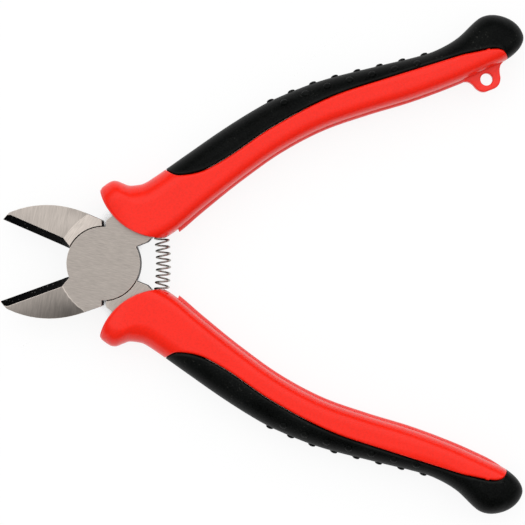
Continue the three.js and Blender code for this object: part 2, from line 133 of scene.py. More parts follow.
INNER_EDGE = (
    (6.6, 0.5), (19.5, 0.5), (25, 1.5), (34.1, 4.5), (48.7, 8.85), (63.3, 12.45), (78, 14.1),
    (92.5, 13.55), (107.1, 12.35), (121.8, 12.1), (136.4, 12.75), (146.6, 12.6),
)
# The skin lies this far inside the outer edge and the end, so that it stays in the faceted solids' box.
SKIN = 0.06
# Shares of the section's run given to the rounded outer and inner sides.
OUTER_SHARE = 0.35
INNER_SHARE = 0.4
# Opening in the grip's front for the tang: its inner and outer edge, its half thickness and depth.
TANG_OPENING = (0.95, 13.5, 5.75)
TANG_DEPTH = 3.0

# Seam between body and cushion: its line, its gap and depth, the share of the section over which its
# lips fade at both ends, the place from which it runs along the grip, the places tried for its ends, and
# the corrections of a lip's reach across the section, with the most that it may be.
SEAM = (
    (28.3, 20.5), (30.5, 17.95), (33, 16.7), (36, 15.9), (40, 15.65), (48.7, 16.9), (63.3, 20.2),
    (82.8, 22.3), (102.3, 21.5), (124, 19.9), (130.5, 18.85), (133.6, 18.3), (136.3, 17.5), (138, 16.2),
    (138.8, 14.6), (139.3, 12),
)
SEAM_GAP, SEAM_DEPTH = 0.4, 1.2
SEAM_FADE, SEAM_LEVEL = 0.06, 32
SEAM_TRIES = 600
INSET_TRIES, INSET_MOST = 6, 0.1

# Columns of points on a lip, on a face and round half the rib, and rows on the front wall, the rolled
# rim, the guard and the rounded end, with the least step between rows there and the corrections that set
# the front's points on its arc.
LIP_COLUMNS, FACE_COLUMNS, RIB_TURN = 5, 72, 9
WALL_ROWS, RIM_ROWS, GUARD_ROWS, END_ROWS = 25, 6, 60, 80
ROW_LEAST = 0.05
FRONT_TRIES = 30

# Rib on the inner edge: where it starts, begins to sink and ends, its height, the step at its start, and
# half its width.
RIB_START, RIB_FADE, RIB_END = 25.2, 131.0, 137.5
RIB_HEIGHT, RIB_STEP, RIB_HALF = 0.7, 0.3, 1.5
# Hang loop: its hole, the drop to its flat end, half widths at that end, at the waist and at the rib,
# the bend of its flanks, and how deep it reaches into the grip.
LOOP_CENTRE = (130.9, 9.7)
LOOP_HOLE = 1.9
LOOP_DROP, LOOP_FLAT = 3.5, 1.2
LOOP_WAIST, LOOP_WAIST_DROP, LOOP_FOOT = 4.25, 1.0, 6.6
LOOP_BEND, LOOP_BEND_DROP, LOOP_ROOT = 4.8, 0.5, 1.5
LOOP_ROUND, LOOP_PROUD = 0.45, 0.03
CURVE_POINTS, LOOP_FLAT_POINTS, LOOP_ROOT_POINTS, LOOP_ROUND_POINTS = 25, 12, 60, 5
# Bumps: their rows along the cushion, the rows' angle up the side, and how far a bump goes on below
# the surface, as a share of a quarter turn.
BUMP_START, BUMP_PITCH, BUMP_COUNT = 66.3, 7.06, 8
BUMP_ROW_ANGLE = math.radians(52)
BUMP_SINK = 0.35
BUMP_POINTS, BUMP_ROWS = 24, 10
# How strongly the rib is painted with a pale pink reflection, how much the rim, the loop and the
# bumps are worn, and how soon the wear fades beside the seam.
RIB_SHEEN, RIM_RUBBED, LOOP_RUBBED, BUMP_RUBBED = 0.4, 0.3, 0.1, 0.4
RUBBED_FADE = 0.03

# Spring: its place along the open tool, its coil and wire, its turns, half length and bow, the ends of its
# bending, the steps of a turn and the wire's sides; then its pocket in the grip.
SPRING_X = 17.4
SPRING_RADIUS, SPRING_WIRE = 2.1, 0.58
SPRING_TURNS, SPRING_HALF, SPRING_BOW = 10, 11.2, 0.9
SPRING_STEPS, WIRE_SIDES = 32, 12
POCKET_RADIUS, POCKET_EDGE, POCKET_FLOOR = 2.99, 0.2, 11.8

# Distances in metres within which points of a new mesh are joined, and faces count as nothing.
WELD, NOTHING, STEEL_NOTHING = 2e-7, 1e-7, 1e-6

# Stage, in metres: the floor's reach and its gap below the tool, the lamp, and the camera.
FLOOR_REACH, FLOOR_GAP = 3.0, 0.0001
LAMP_HEIGHT, LAMP_WIDTH = 0.5, 3.0
SENSOR_MM, CLIP_START = 36, 0.01
# The floor has painted shade, going dark where little of the space over it is open: how far up that
# counts, the rays that find it, and the open shares from dark to white.
COVER_REACH, COVER_RAYS, COVER_OPEN = 0.008, 24, (0.2, 0.36)
# Heights of a direction along Y and along Z over which the sky's soft box comes up.
BOX_FROM_FRONT, BOX_FROM_LOW = (-0.655, 0.345), (0.35, 0.7)


class CutterLook(bpy.types.PropertyGroup):
    """Finishes and small roundings of the tool."""

    body_colour: bpy.props.FloatVectorProperty(
        name="Grip body", description="Colour of the hard grip body", subtype="COLOR", size=3,
        min=0, max=1, default=(0.885, 0.0134, 0.0026))
    cushion_colour: bpy.props.FloatVectorProperty(
        name="Cushion", description="Colour of the soft cushion", subtype="COLOR", size=3,
        min=0, max=1, default=(0.0026, 0.0030, 0.0028))
    steel_colour: bpy.props.FloatVectorProperty(
        name="Ground steel", description="Colour of the ground steel faces", subtype="COLOR", size=3,
        min=0, max=1, default=(0.48, 0.43, 0.39))
    dark_colour: bpy.props.FloatVectorProperty(
        name="Dark steel", description="Colour of the hardened bevels", subtype="COLOR", size=3,
        min=0, max=1, default=(0.0012, 0.0012, 0.0013))
    edge_round: bpy.props.FloatProperty(
        name="Steel edge", description="Rounding of the steel edges", unit="LENGTH", min=0, default=0.00016)
    body_lip: bpy.props.FloatProperty(
        name="Body lip", description="Rounding of the grip body's edge at the seam", unit="LENGTH", min=0,
        default=0.0008)
    cushion_lip: bpy.props.FloatProperty(
        name="Cushion lip", description="Rounding of the cushion's edge at the seam", unit="LENGTH", min=0,
        default=0.0004)
    front_round: bpy.props.FloatProperty(
        name="Grip front", description="Rounding of the grip's front rim", unit="LENGTH", min=0,
        default=0.0004)
    bump_radius: bpy.props.FloatProperty(
        name="Bump radius", description="Radius of the cushion's bumps", unit="LENGTH", min=0,
        default=0.0012)
    bump_height: bpy.props.FloatProperty(
        name="Bump height", description="Height of the cushion's bumps", unit="LENGTH", min=0,
        default=0.0006)


class StageLook(bpy.types.PropertyGroup):
    """Camera, light and floor."""

    camera_distance: bpy.props.FloatProperty(
        name="Camera distance", description="From the camera to the tool", unit="LENGTH", default=0.7)
    camera_roll: bpy.props.FloatProperty(
        name="Camera roll", description="Turn of the camera about its sight line", unit="ROTATION",
        default=math.radians(0.12))
    frame_width: bpy.props.FloatProperty(
        name="Frame width", description="Width of the picture at the tool", unit="LENGTH", default=0.1626)
    frame_centre: bpy.props.FloatVectorProperty(
        name="Frame centre", description="Point of the tool in the middle of the picture", unit="LENGTH",
        size=2, default=(0.04897, 0.00043))
    floor_colour: bpy.props.FloatVectorProperty(
        name="Floor", description="Colour of the floor", subtype="COLOR", size=3, min=0, max=1,
        default=(0.96, 0.96, 0.96))
    floor_white: bpy.props.FloatProperty(
        name="Floor white", description="Share of plain white in the floor's look", subtype="FACTOR",
        min=0, max=1, default=0.88)
    lamp_power: bpy.props.FloatProperty(
        name="Overhead lamp", description="Power of the overhead lamp", unit="POWER", min=0, default=13.4)
    sky_low: bpy.props.FloatProperty(
        name="Sky", description="Light from all round", min=0, default=0.12)
    sky_peak: bpy.props.FloatProperty(
        name="Soft box", description="Light from the middle of the soft box", min=0, default=1.25)


class Value:
    """A number in a node tree. Arithmetic on it adds Math nodes."""

    def __init__(self, graph, socket):
        self.graph = graph
        self.socket = socket

    def math(self, operation, *inputs):
        """Result of a Math node."""
        node = self.graph.node("ShaderNodeMath", {"operation": operation}, dict(enumerate(inputs)))
        return self.graph.value(node)

    def __add__(self, other):
        return self.math("ADD", self, other)

    def __sub__(self, other):
        return self.math("SUBTRACT", self, other)

    def __rsub__(self, other):
        return self.math("SUBTRACT", other, self)

    def __mul__(self, other):
        return self.math("MULTIPLY", self, other)

    __radd__ = __add__
    __rmul__ = __mul__

    def clipped(self, low, high):
        """The number, kept between low and high."""
        return self.math("MINIMUM", self.math("MAXIMUM", self, low), high)

    def step(self, low, high):
        """0 below low, 1 above high, and even between."""
        return ((self - low) * (1 / (high - low))).clipped(0, 1)

    def smooth(self, low, high):
        """0 below low, 1 above high, and an eased curve between."""
        share = self.step(low, high)
        return share * share * (3 - 2 * share)


class Graph:
    """The node tree of a material or a world, under construction."""

    def __init__(self, owner):
        owner.use_nodes = True
        self.tree = owner.node_tree
        self.tree.nodes.clear()

    def node(self, kind, settings, sockets):
        """Adds a node of this type: its settings first, then the values or links of its sockets."""
        node = self.tree.nodes.new(kind)
        for name, value in settings.items():
            setattr(node, name, value)
        self.link(node, sockets)
        return node

    def link(self, node, sockets):
        """Links or sets a node's sockets, by name or by place."""
        for name, value in sockets.items():
            source = value.socket if isinstance(value, Value) else value
            if isinstance(source, bpy.types.NodeSocket):
                self.tree.links.new(source, node.inputs[name])
            else:
                node.inputs[name].default_value = source

    def value(self, node, output=0):
        """The number that a node gives."""
        return Value(self, node.outputs[output])


class Finish(Graph):
    """A material with a Principled shader on its output."""

    def __init__(self, name, **constants):
        self.material = bpy.data.materials.new(name)
        super().__init__(self.material)
        self.shader = self.node("ShaderNodeBsdfPrincipled", {}, {})
        self.node("ShaderNodeOutputMaterial", {}, {"Surface": self.shader.outputs[0]})
        self.set(**constants)

    def set(self, **sockets):
        """Links or sets the shader's sockets, named with underscores for spaces."""
        self.link(self.shader, {name.replace("_", " "): value for name, value in sockets.items()})

    def coordinates(self, turn=0.0, stretch=(1.0, 1.0, 1.0)):
        """Object coordinates for a pattern that is turned about Z and stretched along its own axes."""
        place = self.node("ShaderNodeTexCoord", {}, {})
        turned = self.node(
            "ShaderNodeMapping", {"vector_type": "TEXTURE"},
            {"Vector": place.outputs["Object"], "Rotation": (0, 0, turn), "Scale": stretch})
        return turned.outputs[0]

    def noise(self, scale, detail=2, roughness=0.5, vector=None):
        """Noise on the given coordinates, or on the plain object coordinates."""
        vector = self.coordinates() if vector is None else vector
        return self.value(self.node(
            "ShaderNodeTexNoise", {},
            {"Vector": vector, "Scale": scale, "Detail": detail, "Roughness": roughness}))

    def attribute(self, name):
        """A number stored on the mesh's points."""
        return self.value(self.node("ShaderNodeAttribute", {"attribute_name": name}, {}), "Fac")

    def blend(self, factor, first, second):
        """Colour between two others."""
        mix = self.node("ShaderNodeMix", {"data_type": "RGBA"}, {0: factor, 6: first, 7: second})
        return mix.outputs[2]

    def shade(self, factor, colour, low, high):
        """A colour that goes from a darker to a lighter level of itself."""
        return self.blend(factor, rgba(colour, low), rgba(colour, high))

    def bump(self, height, strength, distance):
        """Small relief of the surface."""
        node = self.node(
            "ShaderNodeBump", {}, {"Height": height, "Strength": strength, "Distance": distance})
        self.set(Normal=node.outputs[0])


def rgba(colour, level=1.0):
    """Opaque colour, with its channels times a level."""
    return tuple(min(channel * level, 1.0) for channel in colour) + (1.0,)


def ground_steel(name, colour, turn, run=0.03, tang=None):
    """Ground steel: fine scratches along one direction over a slow cloudy change of tone, going over to
    the tang's colour behind the pivot where that is given."""
    finish = Finish(name, Metallic=1.0)
    fine = finish.coordinates(turn, (run, 0.003, 0.03))
    broad = finish.coordinates(turn, (0.02, 0.008, 0.02))
    scratches = finish.noise(scale=10, detail=3, roughness=0.65, vector=fine)
    clouds = finish.noise(scale=2.2, detail=3, vector=broad)
    tone = scratches.step(0.3, 0.7) * 0.7 + clouds * 0.3
    darkest, lightest = 0.76, 1.24
    shade = finish.shade(tone, colour, darkest, lightest)
    if tang is not None:
        place = finish.node("ShaderNodeSeparateXYZ", {}, {0: finish.coordinates()})
        behind = finish.value(place, "X").smooth(-TANG_FADE, TANG_FADE)
        shade = finish.blend(behind, shade, finish.shade(tone, tang, darkest, lightest))
    finish.set(Base_Color=shade, Roughness=scratches * 0.14 + 0.34)
    finish.bump(scratches, 0.1, 0.00004)
    return finish.material


def worn_highlight_steel(name, colour):
    """Worn edges of the steel with a painted highlight: brighter and smoother than the faces, in patches."""
    finish = Finish(name, Metallic=1.0)
    worn = finish.noise(scale=500, detail=3)
    finish.set(Base_Color=finish.shade(worn, colour, 1.4, 1.9), Roughness=0.4 - worn * 0.14)
    return finish.material


def near_black_bevel(name, colour):
    """Cutting bevel: near black and hardly reflective, with a few bright specks."""
    finish = Finish(name, IOR=1.05)
    mottle = finish.noise(scale=700, detail=3)
    specks = finish.noise(scale=1500, detail=1).step(0.7, 0.76)
    scale = finish.shade(mottle, colour, 0.4, 1.6)
    finish.set(
        Base_Color=finish.blend(specks * 0.6, scale, (0.25, 0.24, 0.23, 1)),
        Roughness=mottle * 0.2 + 0.45)
    return finish.material


def forged_rim(name):
    """Forged rim: dark grey scale, lighter where it is worn."""
    finish = Finish(name, IOR=1.12)
    scale = finish.noise(scale=260, detail=4, roughness=0.6)
    finish.set(
        Base_Color=finish.blend(scale, (0.008, 0.008, 0.008, 1), (0.07, 0.066, 0.062, 1)),
        Roughness=scale * 0.2 + 0.4)
    finish.bump(scale, 0.2, 0.00006)
    return finish.material


def drawn_wire(name):
    """Drawn spring wire: dark, with a fine change of tone."""
    finish = Finish(name, Metallic=1.0)
    tone = finish.noise(scale=2500)
    finish.set(
        Base_Color=finish.blend(tone, (0.14, 0.133, 0.12, 1), (0.72, 0.69, 0.63, 1)),
        Roughness=tone * 0.15 + 0.25)
    return finish.material


def moulded_plastic(name, colour):
    """Hard moulded plastic: a fine spark-eroded grain, a mottled and slow change of tone, paler worn
    edges, and a painted pale pink reflection along the rib."""
    finish = Finish(name, IOR=1.35)
    grain = finish.noise(scale=4200)
    slow = finish.noise(scale=60)
    mottle = finish.noise(scale=1500, detail=3).step(0.3, 0.7)
    # Pale pink: wear on the rim and the loop, and a painted reflection along the rib.
    rub_and_sheen = finish.attribute("rub_and_sheen") * (slow * 0.6 + 0.2)
    plain = finish.shade(slow * 0.4 + mottle * 0.6, colour, 0.9, 1.1)
    finish.set(
        Base_Color=finish.blend(rub_and_sheen, plain, (0.62, 0.32, 0.32, 1)),
        Roughness=grain * 0.1 + 0.24)
    finish.bump(grain, 0.12, 0.00003)
    return finish.material


def soft_rubber(name, colour):
    """Soft rubber: matt, with a speckled grain, faint worn patches, a little dust and greyer worn
    edges."""
    finish = Finish(name, Specular_IOR_Level=0.045)
    grain = finish.noise(scale=2600, detail=3, roughness=0.6)
    worn = finish.noise(scale=90, detail=3)
    rub_and_sheen = finish.attribute("rub_and_sheen") * worn * 0.5
    speckle = grain.step(0.38, 0.68) * 0.7 + worn.step(0.35, 0.65) * 0.3
    dust = finish.noise(scale=1700, detail=1).step(0.67, 0.72) * worn.step(0.5, 0.58) * 0.15
    plain = finish.shade(speckle, colour, 0.1, 2.4)
    dusty = finish.blend(dust, plain, (0.14, 0.135, 0.12, 1))
    finish.set(
        Base_Color=finish.blend(rub_and_sheen, dusty, (0.03, 0.032, 0.031, 1)),
        Roughness=grain * 0.2 + worn * 0.1 + 0.27)
    finish.bump(grain, 0.3, 0.00006)
    return finish.material


def through(points):
    """Smooth height through a few points: cubic pieces with the slope between each point's neighbours."""
    x, y = np.array(points, float).T
    order = np.arange(len(x))
    before, after = np.maximum(order - 1, 0), np.minimum(order + 1, len(x) - 1)
    slope = (y[after] - y[before]) / (x[after] - x[before])

    def height(at):
        left = np.clip(np.searchsorted(x, at) - 1, 0, len(x) - 2)
        right = left + 1
        width = x[right] - x[left]
        t = np.clip((at - x[left]) / width, 0, 1)
        rise = y[right] - y[left]
        start, end = slope[left] * width, slope[right] * width
        return y[left] + start * t + (3 * rise - 2 * start - end) * t**2 + (start + end - 2 * rise) * t**3

    return height


outer_edge = through(OUTER_EDGE)
inner_edge = through(INNER_EDGE)
seam_edge = through(SEAM)


def smoothstep(x, low, high):
    """Eased rise from 0 at low to 1 at high: three times the share squared less twice its cube."""
    t = np.clip((x - low) / (high - low), 0, 1)
    return t * t * (3 - 2 * t)


def along(*spans):
    """Row of places from spans of (start, end, count, ease): ease 1 is even, 2 is close at the start."""
    parts = [
        start + (end - start) * np.linspace(0, 1, count, endpoint=False) ** ease
        for start, end, count, ease in spans
    ]
    return np.concatenate([*parts, [spans[-1][1]]])


def grip_edges(x):
    """Outer and inner height and half thickness of the grip: the faces slope down to the guard's front
    by a square law, and quarter ellipses draw the end in."""
    end = GRIP_END - SKIN
    plan = np.clip((x - end + END_ROUND) / END_ROUND, 0, 1)
    side = np.clip((x - end + GRIP_HALF) / GRIP_HALF, 0, 1)
    drawn = np.sqrt(1 - plan**2)
    slope = np.clip((GUARD_FALL_END - x) / (GUARD_FALL_END - GRIP_START), 0, 1)
    outer = END_HEIGHT + (outer_edge(x) - SKIN - END_HEIGHT) * drawn
    inner = END_HEIGHT + (inner_edge(x) - END_HEIGHT) * drawn
    return outer, inner, (GRIP_HALF - GUARD_FALL * slope**2) * np.sqrt(1 - side**2)


def grip_rounds(outer, inner):
    """Widths of the rounded outer and inner sides, narrowed where the grip is narrow."""
    share = np.minimum(1, (outer - inner) / (OUTER_ROUND + INNER_ROUND + FLAT_LEAST))
    return np.maximum(OUTER_ROUND * share, TINY), np.maximum(INNER_ROUND * share, TINY)


def grip_section(x, w, face):
    """Point and outward normal of the section at x: w runs from the outer edge, 0, over a quarter
    ellipse, the flat face and a fuller quarter of a superellipse to the inner edge, 1; face is 1 or -1."""
    outer, inner, half = grip_edges(x)
    outer_round, inner_round = grip_rounds(outer, inner)
    turn = np.clip(w / OUTER_SHARE, 0, 1) * QUARTER
    inner_turn = np.clip((1 - w) / INNER_SHARE, 0, 1) * QUARTER
    share = np.clip((w - OUTER_SHARE) / (1 - OUTER_SHARE - INNER_SHARE), 0, 1)
    on_outer, on_inner = w < OUTER_SHARE, w > 1 - INNER_SHARE
    flat = (outer - outer_round) * (1 - share) + (inner + inner_round) * share
    power = 2 / INNER_POWER
    y = np.where(on_outer, outer - outer_round * (1 - np.cos(turn)), flat)
    y = np.where(on_inner, inner + inner_round * (1 - np.cos(inner_turn) ** power), y)
    z = face * half * np.where(on_inner, np.sin(inner_turn) ** power, np.sin(turn))
    inner_y = -np.cos(inner_turn) ** (2 - power) / inner_round
    normal_y = np.where(on_inner, inner_y, np.cos(turn) / outer_round)
    rise = np.where(on_inner, np.sin(inner_turn) ** (2 - power), np.sin(turn))
    normal_z = face * rise / np.maximum(half, TINY)
    length = np.hypot(normal_y, normal_z)
    point = np.stack(np.broadcast_arrays(x, y, z), -1)
    normal = np.stack(np.broadcast_arrays(0 * y, normal_y / length, normal_z / length), -1)
    return point, normal


def grip_across(x, y):
    """Place w across the section at x where the front face has the height y."""
    outer, inner, _ = grip_edges(x)
    outer_round, inner_round = grip_rounds(outer, inner)
    low, high = inner + inner_round, outer - outer_round
    turn = np.arccos(np.clip(1 - (outer - y) / outer_round, 0, 1))
    inner_turn = np.arccos(np.clip(1 - (y - inner) / inner_round, 0, 1) ** (INNER_POWER / 2))
    flat = OUTER_SHARE + (high - y) / (high - low) * (1 - OUTER_SHARE - INNER_SHARE)
    w = np.where(y > high, OUTER_SHARE * turn / QUARTER, flat)
    return np.where(y < low, 1 - INNER_SHARE * inner_turn / QUARTER, w)


def inner_across(share):
    """Place across the section, on its inner side, at a share of the half thickness."""
    return 1 - INNER_SHARE * np.arcsin(share ** (INNER_POWER / 2)) / QUARTER


def seam_across(x, gap):
    """Place of the seam across the section: the outer edge before it starts, the inner edge after it
    ends."""
    w = grip_across(x, seam_edge(x) - gap)
    w = np.where(x < SEAM[0][0] - gap, 0, w)
    return np.where(x > SEAM[-1][0], 1, w)


def seam_share(w):
    """1 along the seam, easing to 0 where it meets the outer or the inner edge."""
    return smoothstep(np.minimum(w, 1 - w), 0, SEAM_FADE)


def seam_start():
    """Place along the handle just before the seam comes down from the outer edge."""
    x = np.linspace(SEAM[0][0], SEAM[2][0], SEAM_TRIES)
    below = grip_edges(x)[0] - seam_edge(x)
    return np.interp(0, below, x) - PROBE


def seam_end(gap):
    """Place along the handle just after the seam, moved in by the gap, runs out at the inner edge."""
    x = np.linspace(RIB_FADE, SEAM[-1][0], SEAM_TRIES)
    below = grip_edges(x)[1] - seam_edge(x) + gap
    return np.interp(0, below, x) + PROBE


def lip(x, w, side, face, round_size):
    """Points of a seam lip, from the groove's floor up to the face: the wall, then a quarter turn."""
    fade = seam_share(w)[..., None]
    point, normal = grip_section(x, w, face)
    ahead, _ = grip_section(x, np.clip(w + PROBE, 0, 1), face)
    behind, _ = grip_section(x, np.clip(w - PROBE, 0, 1), face)
    tangent = ahead - behind
    tangent /= np.maximum(np.linalg.norm(tangent, axis=-1, keepdims=True), TINY)
    toward = side * tangent
    turns = np.linspace(QUARTER, 0, LIP_COLUMNS)[:-1]
    rows = [point + fade * (toward * round_size - normal * (round_size + SEAM_DEPTH))]
    rows += [
        point + fade * round_size * (toward * math.sin(t) - normal * (1 - math.cos(t))) for t in turns
    ]
    return np.concatenate(rows, -2)


def lip_inset(x, w, width):
    """How far across the section a width in millimetres reaches from w: a guess, corrected by what it
    spans."""
    start, _ = grip_section(x, w, 1.0)
    reach = np.full_like(w, math.copysign(PROBE, width))
    for _ in range(INSET_TRIES):
        end, _ = grip_section(x, np.clip(w + reach, 0, 1), 1.0)
        span = np.linalg.norm(end - start, axis=-1)
        reach = np.clip(reach * abs(width) / np.maximum(span, TINY), -INSET_MOST, INSET_MOST)
    return reach * seam_share(w)


def front_arc(y):
    """Place along the handle of the grip's front wall at the height y: an arc of a circle."""
    rise = np.clip(y - FRONT_ARC[1], -FRONT_ARC_RADIUS, FRONT_ARC_RADIUS)
    return FRONT_ARC[0] - np.sqrt(FRONT_ARC_RADIUS**2 - rise**2)


def spring_dent(points):
    """Presses the pocket for the spring into the grip: points inside the pocket's round move along it."""
    axis = np.array([OPEN_SIN, OPEN_COS, 0.0])
    foot = np.array([OPEN_COS * SPRING_X, -OPEN_SIN * SPRING_X, 0.0])
    offset = points - foot
    height = offset @ axis
    away = np.linalg.norm(offset - height[..., None] * axis, axis=-1)
    inside = 1 - smoothstep(away, POCKET_RADIUS - POCKET_EDGE, POCKET_RADIUS)
    return points + (inside * np.maximum(POCKET_FLOOR - height, 0))[..., None] * axis


def rib_height(x):
    """Height of the rib on the inner edge: a step more at its square start, and sinking at its end."""
    step = RIB_STEP * (1 - smoothstep(x, RIB_START, 2 * RIB_START))
    return (RIB_HEIGHT + step) * np.sqrt(1 - smoothstep(x, RIB_FADE, RIB_END))


def body_front(rim):
    """Front of the grip body and its shares of wear: the floor of the tang's recess, the front wall on its
    arc, the rim rolled over a quarter turn, and the guard's sides back to the rib."""
    level = RIB_HALF * np.cos(np.linspace(0, QUARTER, RIB_TURN))
    on_rib = inner_across(level / GRIP_HALF)
    w = np.concatenate([np.zeros(LIP_COLUMNS), on_rib[0] * np.linspace(0, 1, FACE_COLUMNS), on_rib])
    face = np.concatenate([np.ones_like(w), -np.ones_like(w)])
    w = np.concatenate([w, w[::-1]])
    x = np.full_like(w, FRONT_ARC[0] - FRONT_ARC_RADIUS)
    for _ in range(FRONT_TRIES):
        x = front_arc(grip_section(x, w, face)[0][:, 1])
    point, normal = grip_section(x, w, face)
    inward = np.stack([FRONT_ARC[0] - x, FRONT_ARC[1] - point[:, 1], 0 * x], -1) / FRONT_ARC_RADIUS
    low, high, half = TANG_OPENING
    opening = np.stack([x, np.clip(point[:, 1], low, high), np.clip(point[:, 2], -half, half)], -1)
    opening[:, 0] = front_arc(opening[:, 1])
    floor = opening + np.array([TANG_DEPTH, 0, 0])
    middle = np.broadcast_to(floor.mean(0), floor.shape)
    corner = point - normal * rim
    wall = opening + (corner - opening) * np.linspace(0, 1, WALL_ROWS)[:, None, None]
    wall[..., 0] = front_arc(wall[..., 1])
    turn = np.linspace(0, QUARTER, RIM_ROWS + 1)[1:, None, None]
    roll = point - normal * rim * (1 - np.sin(turn)) + inward * rim * (1 - np.cos(turn))
    start = roll[-1, :, 0]
    t = np.linspace(0, 1, GUARD_ROWS + 1)[1:, None]
    guard = grip_section(start + (RIB_START - start) * t, w, face)[0]
    rows = np.concatenate([middle[None], floor[None], wall, roll, guard])
    rub_and_sheen = np.zeros(rows.shape[:2])
    rub_and_sheen[-GUARD_ROWS - RIM_ROWS:-GUARD_ROWS] = RIM_RUBBED * np.sin(2 * turn[:, 0])
    return rows, rub_and_sheen


def body_rows(x, lip_mm):
    """Sections of the grip body and their shares of painted reflection: up the seam's lip, over one face,
    round the rib, and back over the other."""
    outer, inner, half = grip_edges(x)
    seam = seam_across(x, SEAM_GAP)
    edge = np.clip(seam + lip_inset(x, seam, lip_mm), 0, 1)
    foot = np.maximum(inner_across(RIB_HALF / half), edge)
    w = edge + (foot - edge) * np.linspace(0, 1, FACE_COLUMNS)
    _, inner_round = grip_rounds(outer, inner)
    level = half * np.sin((1 - foot) / INNER_SHARE * QUARTER) ** (2 / INNER_POWER)
    height = rib_height(x) * level / RIB_HALF
    turn = np.linspace(0, QUARTER, RIB_TURN)
    z = np.cos(turn) * level
    fall = 1 - (1 - (z / half) ** INNER_POWER) ** (1 / INNER_POWER)
    y = inner + inner_round * fall - np.sin(turn) * height
    rib = np.stack([x + 0 * y, y, z], -1)
    front, back = (
        np.concatenate([lip(x, edge, -1, face, lip_mm), grip_section(x, w, face)[0]], 1)
        for face in (1.0, -1.0)
    )
    under = np.concatenate([back, rib * np.array([1, 1, -1])], 1)
    rows = np.concatenate([front, rib, under[:, ::-1]], 1)
    plain = np.zeros((len(x), LIP_COLUMNS + FACE_COLUMNS))
    # Painted reflection: the rib's shares make it a pale pink strip, standing in for the light it mirrors.
    on_rib = np.full(2 * RIB_TURN, RIB_SHEEN) * (rib_height(x) > 0)
    return rows, np.concatenate([plain, on_rib, plain], 1)


def body_skin(look):
    """Grip body: its front, then its sections to the seam's end, with the spring's pocket pressed in."""
    begin, end = SEAM[0][0] - SEAM_GAP, seam_end(SEAM_GAP)
    x = along((RIB_START, begin, 14, 1), (begin, SEAM_LEVEL, 40, 2), (SEAM_LEVEL, RIB_FADE, 150, 1),
              (RIB_FADE, end, 90, 0.7))
    front, front_rubbed = body_front(look.front_round / MM)
    rows, rub_and_sheen = body_rows(x[:, None], look.body_lip / MM)
    return spring_dent(np.concatenate([front, rows])), np.concatenate([front_rubbed, rub_and_sheen])


def curve(start, bend, end):
    """Points of a quadratic curve from start to end, drawn towards the bend."""
    t = np.linspace(0, 1, CURVE_POINTS)[:, None]
    return (1 - t) ** 2 * np.array(start) + 2 * t * (1 - t) * np.array(bend) + t**2 * np.array(end)


def loop_skin():
    """Hang loop: a strip with rounded edges from the hole out to the loop's outline, which flows into the
    rib."""
    ends = LOOP_CENTRE[0] + LOOP_FOOT * np.array([-1, 1])
    foot = inner_edge(ends) - rib_height(ends) - LOOP_CENTRE[1]
    root = inner_edge(ends) + LOOP_ROOT - LOOP_CENTRE[1]
    waist, corner, end = (LOOP_WAIST, -LOOP_WAIST_DROP), LOOP_WAIST - LOOP_WAIST_DROP, -LOOP_DROP
    mirrored = np.array([-1, 1])
    flank = [curve((LOOP_FOOT, height), (LOOP_BEND, height - LOOP_BEND_DROP), waist) for height in foot]
    turn = curve(waist, (corner, end), (LOOP_FLAT, end))
    flat = np.linspace((-LOOP_FLAT, end), (LOOP_FLAT, end), LOOP_FLAT_POINTS)
    inside = np.linspace((LOOP_FOOT, root[1]), (-LOOP_FOOT, root[0]), LOOP_ROOT_POINTS)
    outline = np.concatenate([
        flank[0] * mirrored, turn[1:] * mirrored, flat[1:], turn[-2::-1], flank[1][-2::-1], inside,
        flank[0][:1] * mirrored])[:, None]
    reach = np.linalg.norm(outline, axis=-1, keepdims=True)
    quarter = np.linspace(0, QUARTER, LOOP_ROUND_POINTS)
    inset = LOOP_ROUND * (1 - np.sin(quarter))
    level = RIB_HALF + LOOP_PROUD - LOOP_ROUND * (1 - np.cos(quarter))
    share = np.repeat([0, 1, 1, 0], LOOP_ROUND_POINTS)
    edge = np.concatenate([inset[::-1], -inset, -inset[::-1], inset])
    height = np.concatenate([level[::-1], level, -level[::-1], -level])
    radius = (LOOP_HOLE + (reach[..., 0] - LOOP_HOLE) * share + edge)[..., None]
    plan = outline / reach * radius + np.array(LOOP_CENTRE)
    points = np.concatenate([plan, np.broadcast_to(height[:, None], plan[..., :1].shape)], -1)
    return points, LOOP_RUBBED


def cushion_skin(look):
    """Cushion: sections from seam to seam over the outer side, closing to the whole section at the end."""
    lip_mm = look.cushion_lip / MM
    last = SEAM[-1][0]
    turned = GRIP_END - SKIN - END_ROUND * (1 - np.sin(np.linspace(0, QUARTER, END_ROWS)))
    x = along((seam_start(), SEAM_LEVEL, 40, 1.5), (SEAM_LEVEL, turned[0], 160, 1),
              (turned[0], last, 60, 1))
    x = np.concatenate([x, turned[turned > last + ROW_LEAST]])[:, None]
    seam = seam_across(x, 0)
    edge = np.clip(seam + lip_inset(x, seam, -lip_mm), 0, 1)
    share = np.linspace(-1, 1, 2 * FACE_COLUMNS)
    across = edge * share
    main = grip_section(x, np.abs(across), np.where(across < 0, -1.0, 1.0))[0]
    top = lip(x, edge, 1, 1.0, lip_mm)[:, ::-1]
    under = lip(x, edge, 1, -1.0, lip_mm)
    turn = np.linspace(0, 1, LIP_COLUMNS)
    beside = np.exp((np.abs(share) - 1) / RUBBED_FADE)
    rub_and_sheen = np.concatenate([turn, beside, turn[::-1]]) * seam_share(seam)
    return np.concatenate([under, main, top], 1), rub_and_sheen


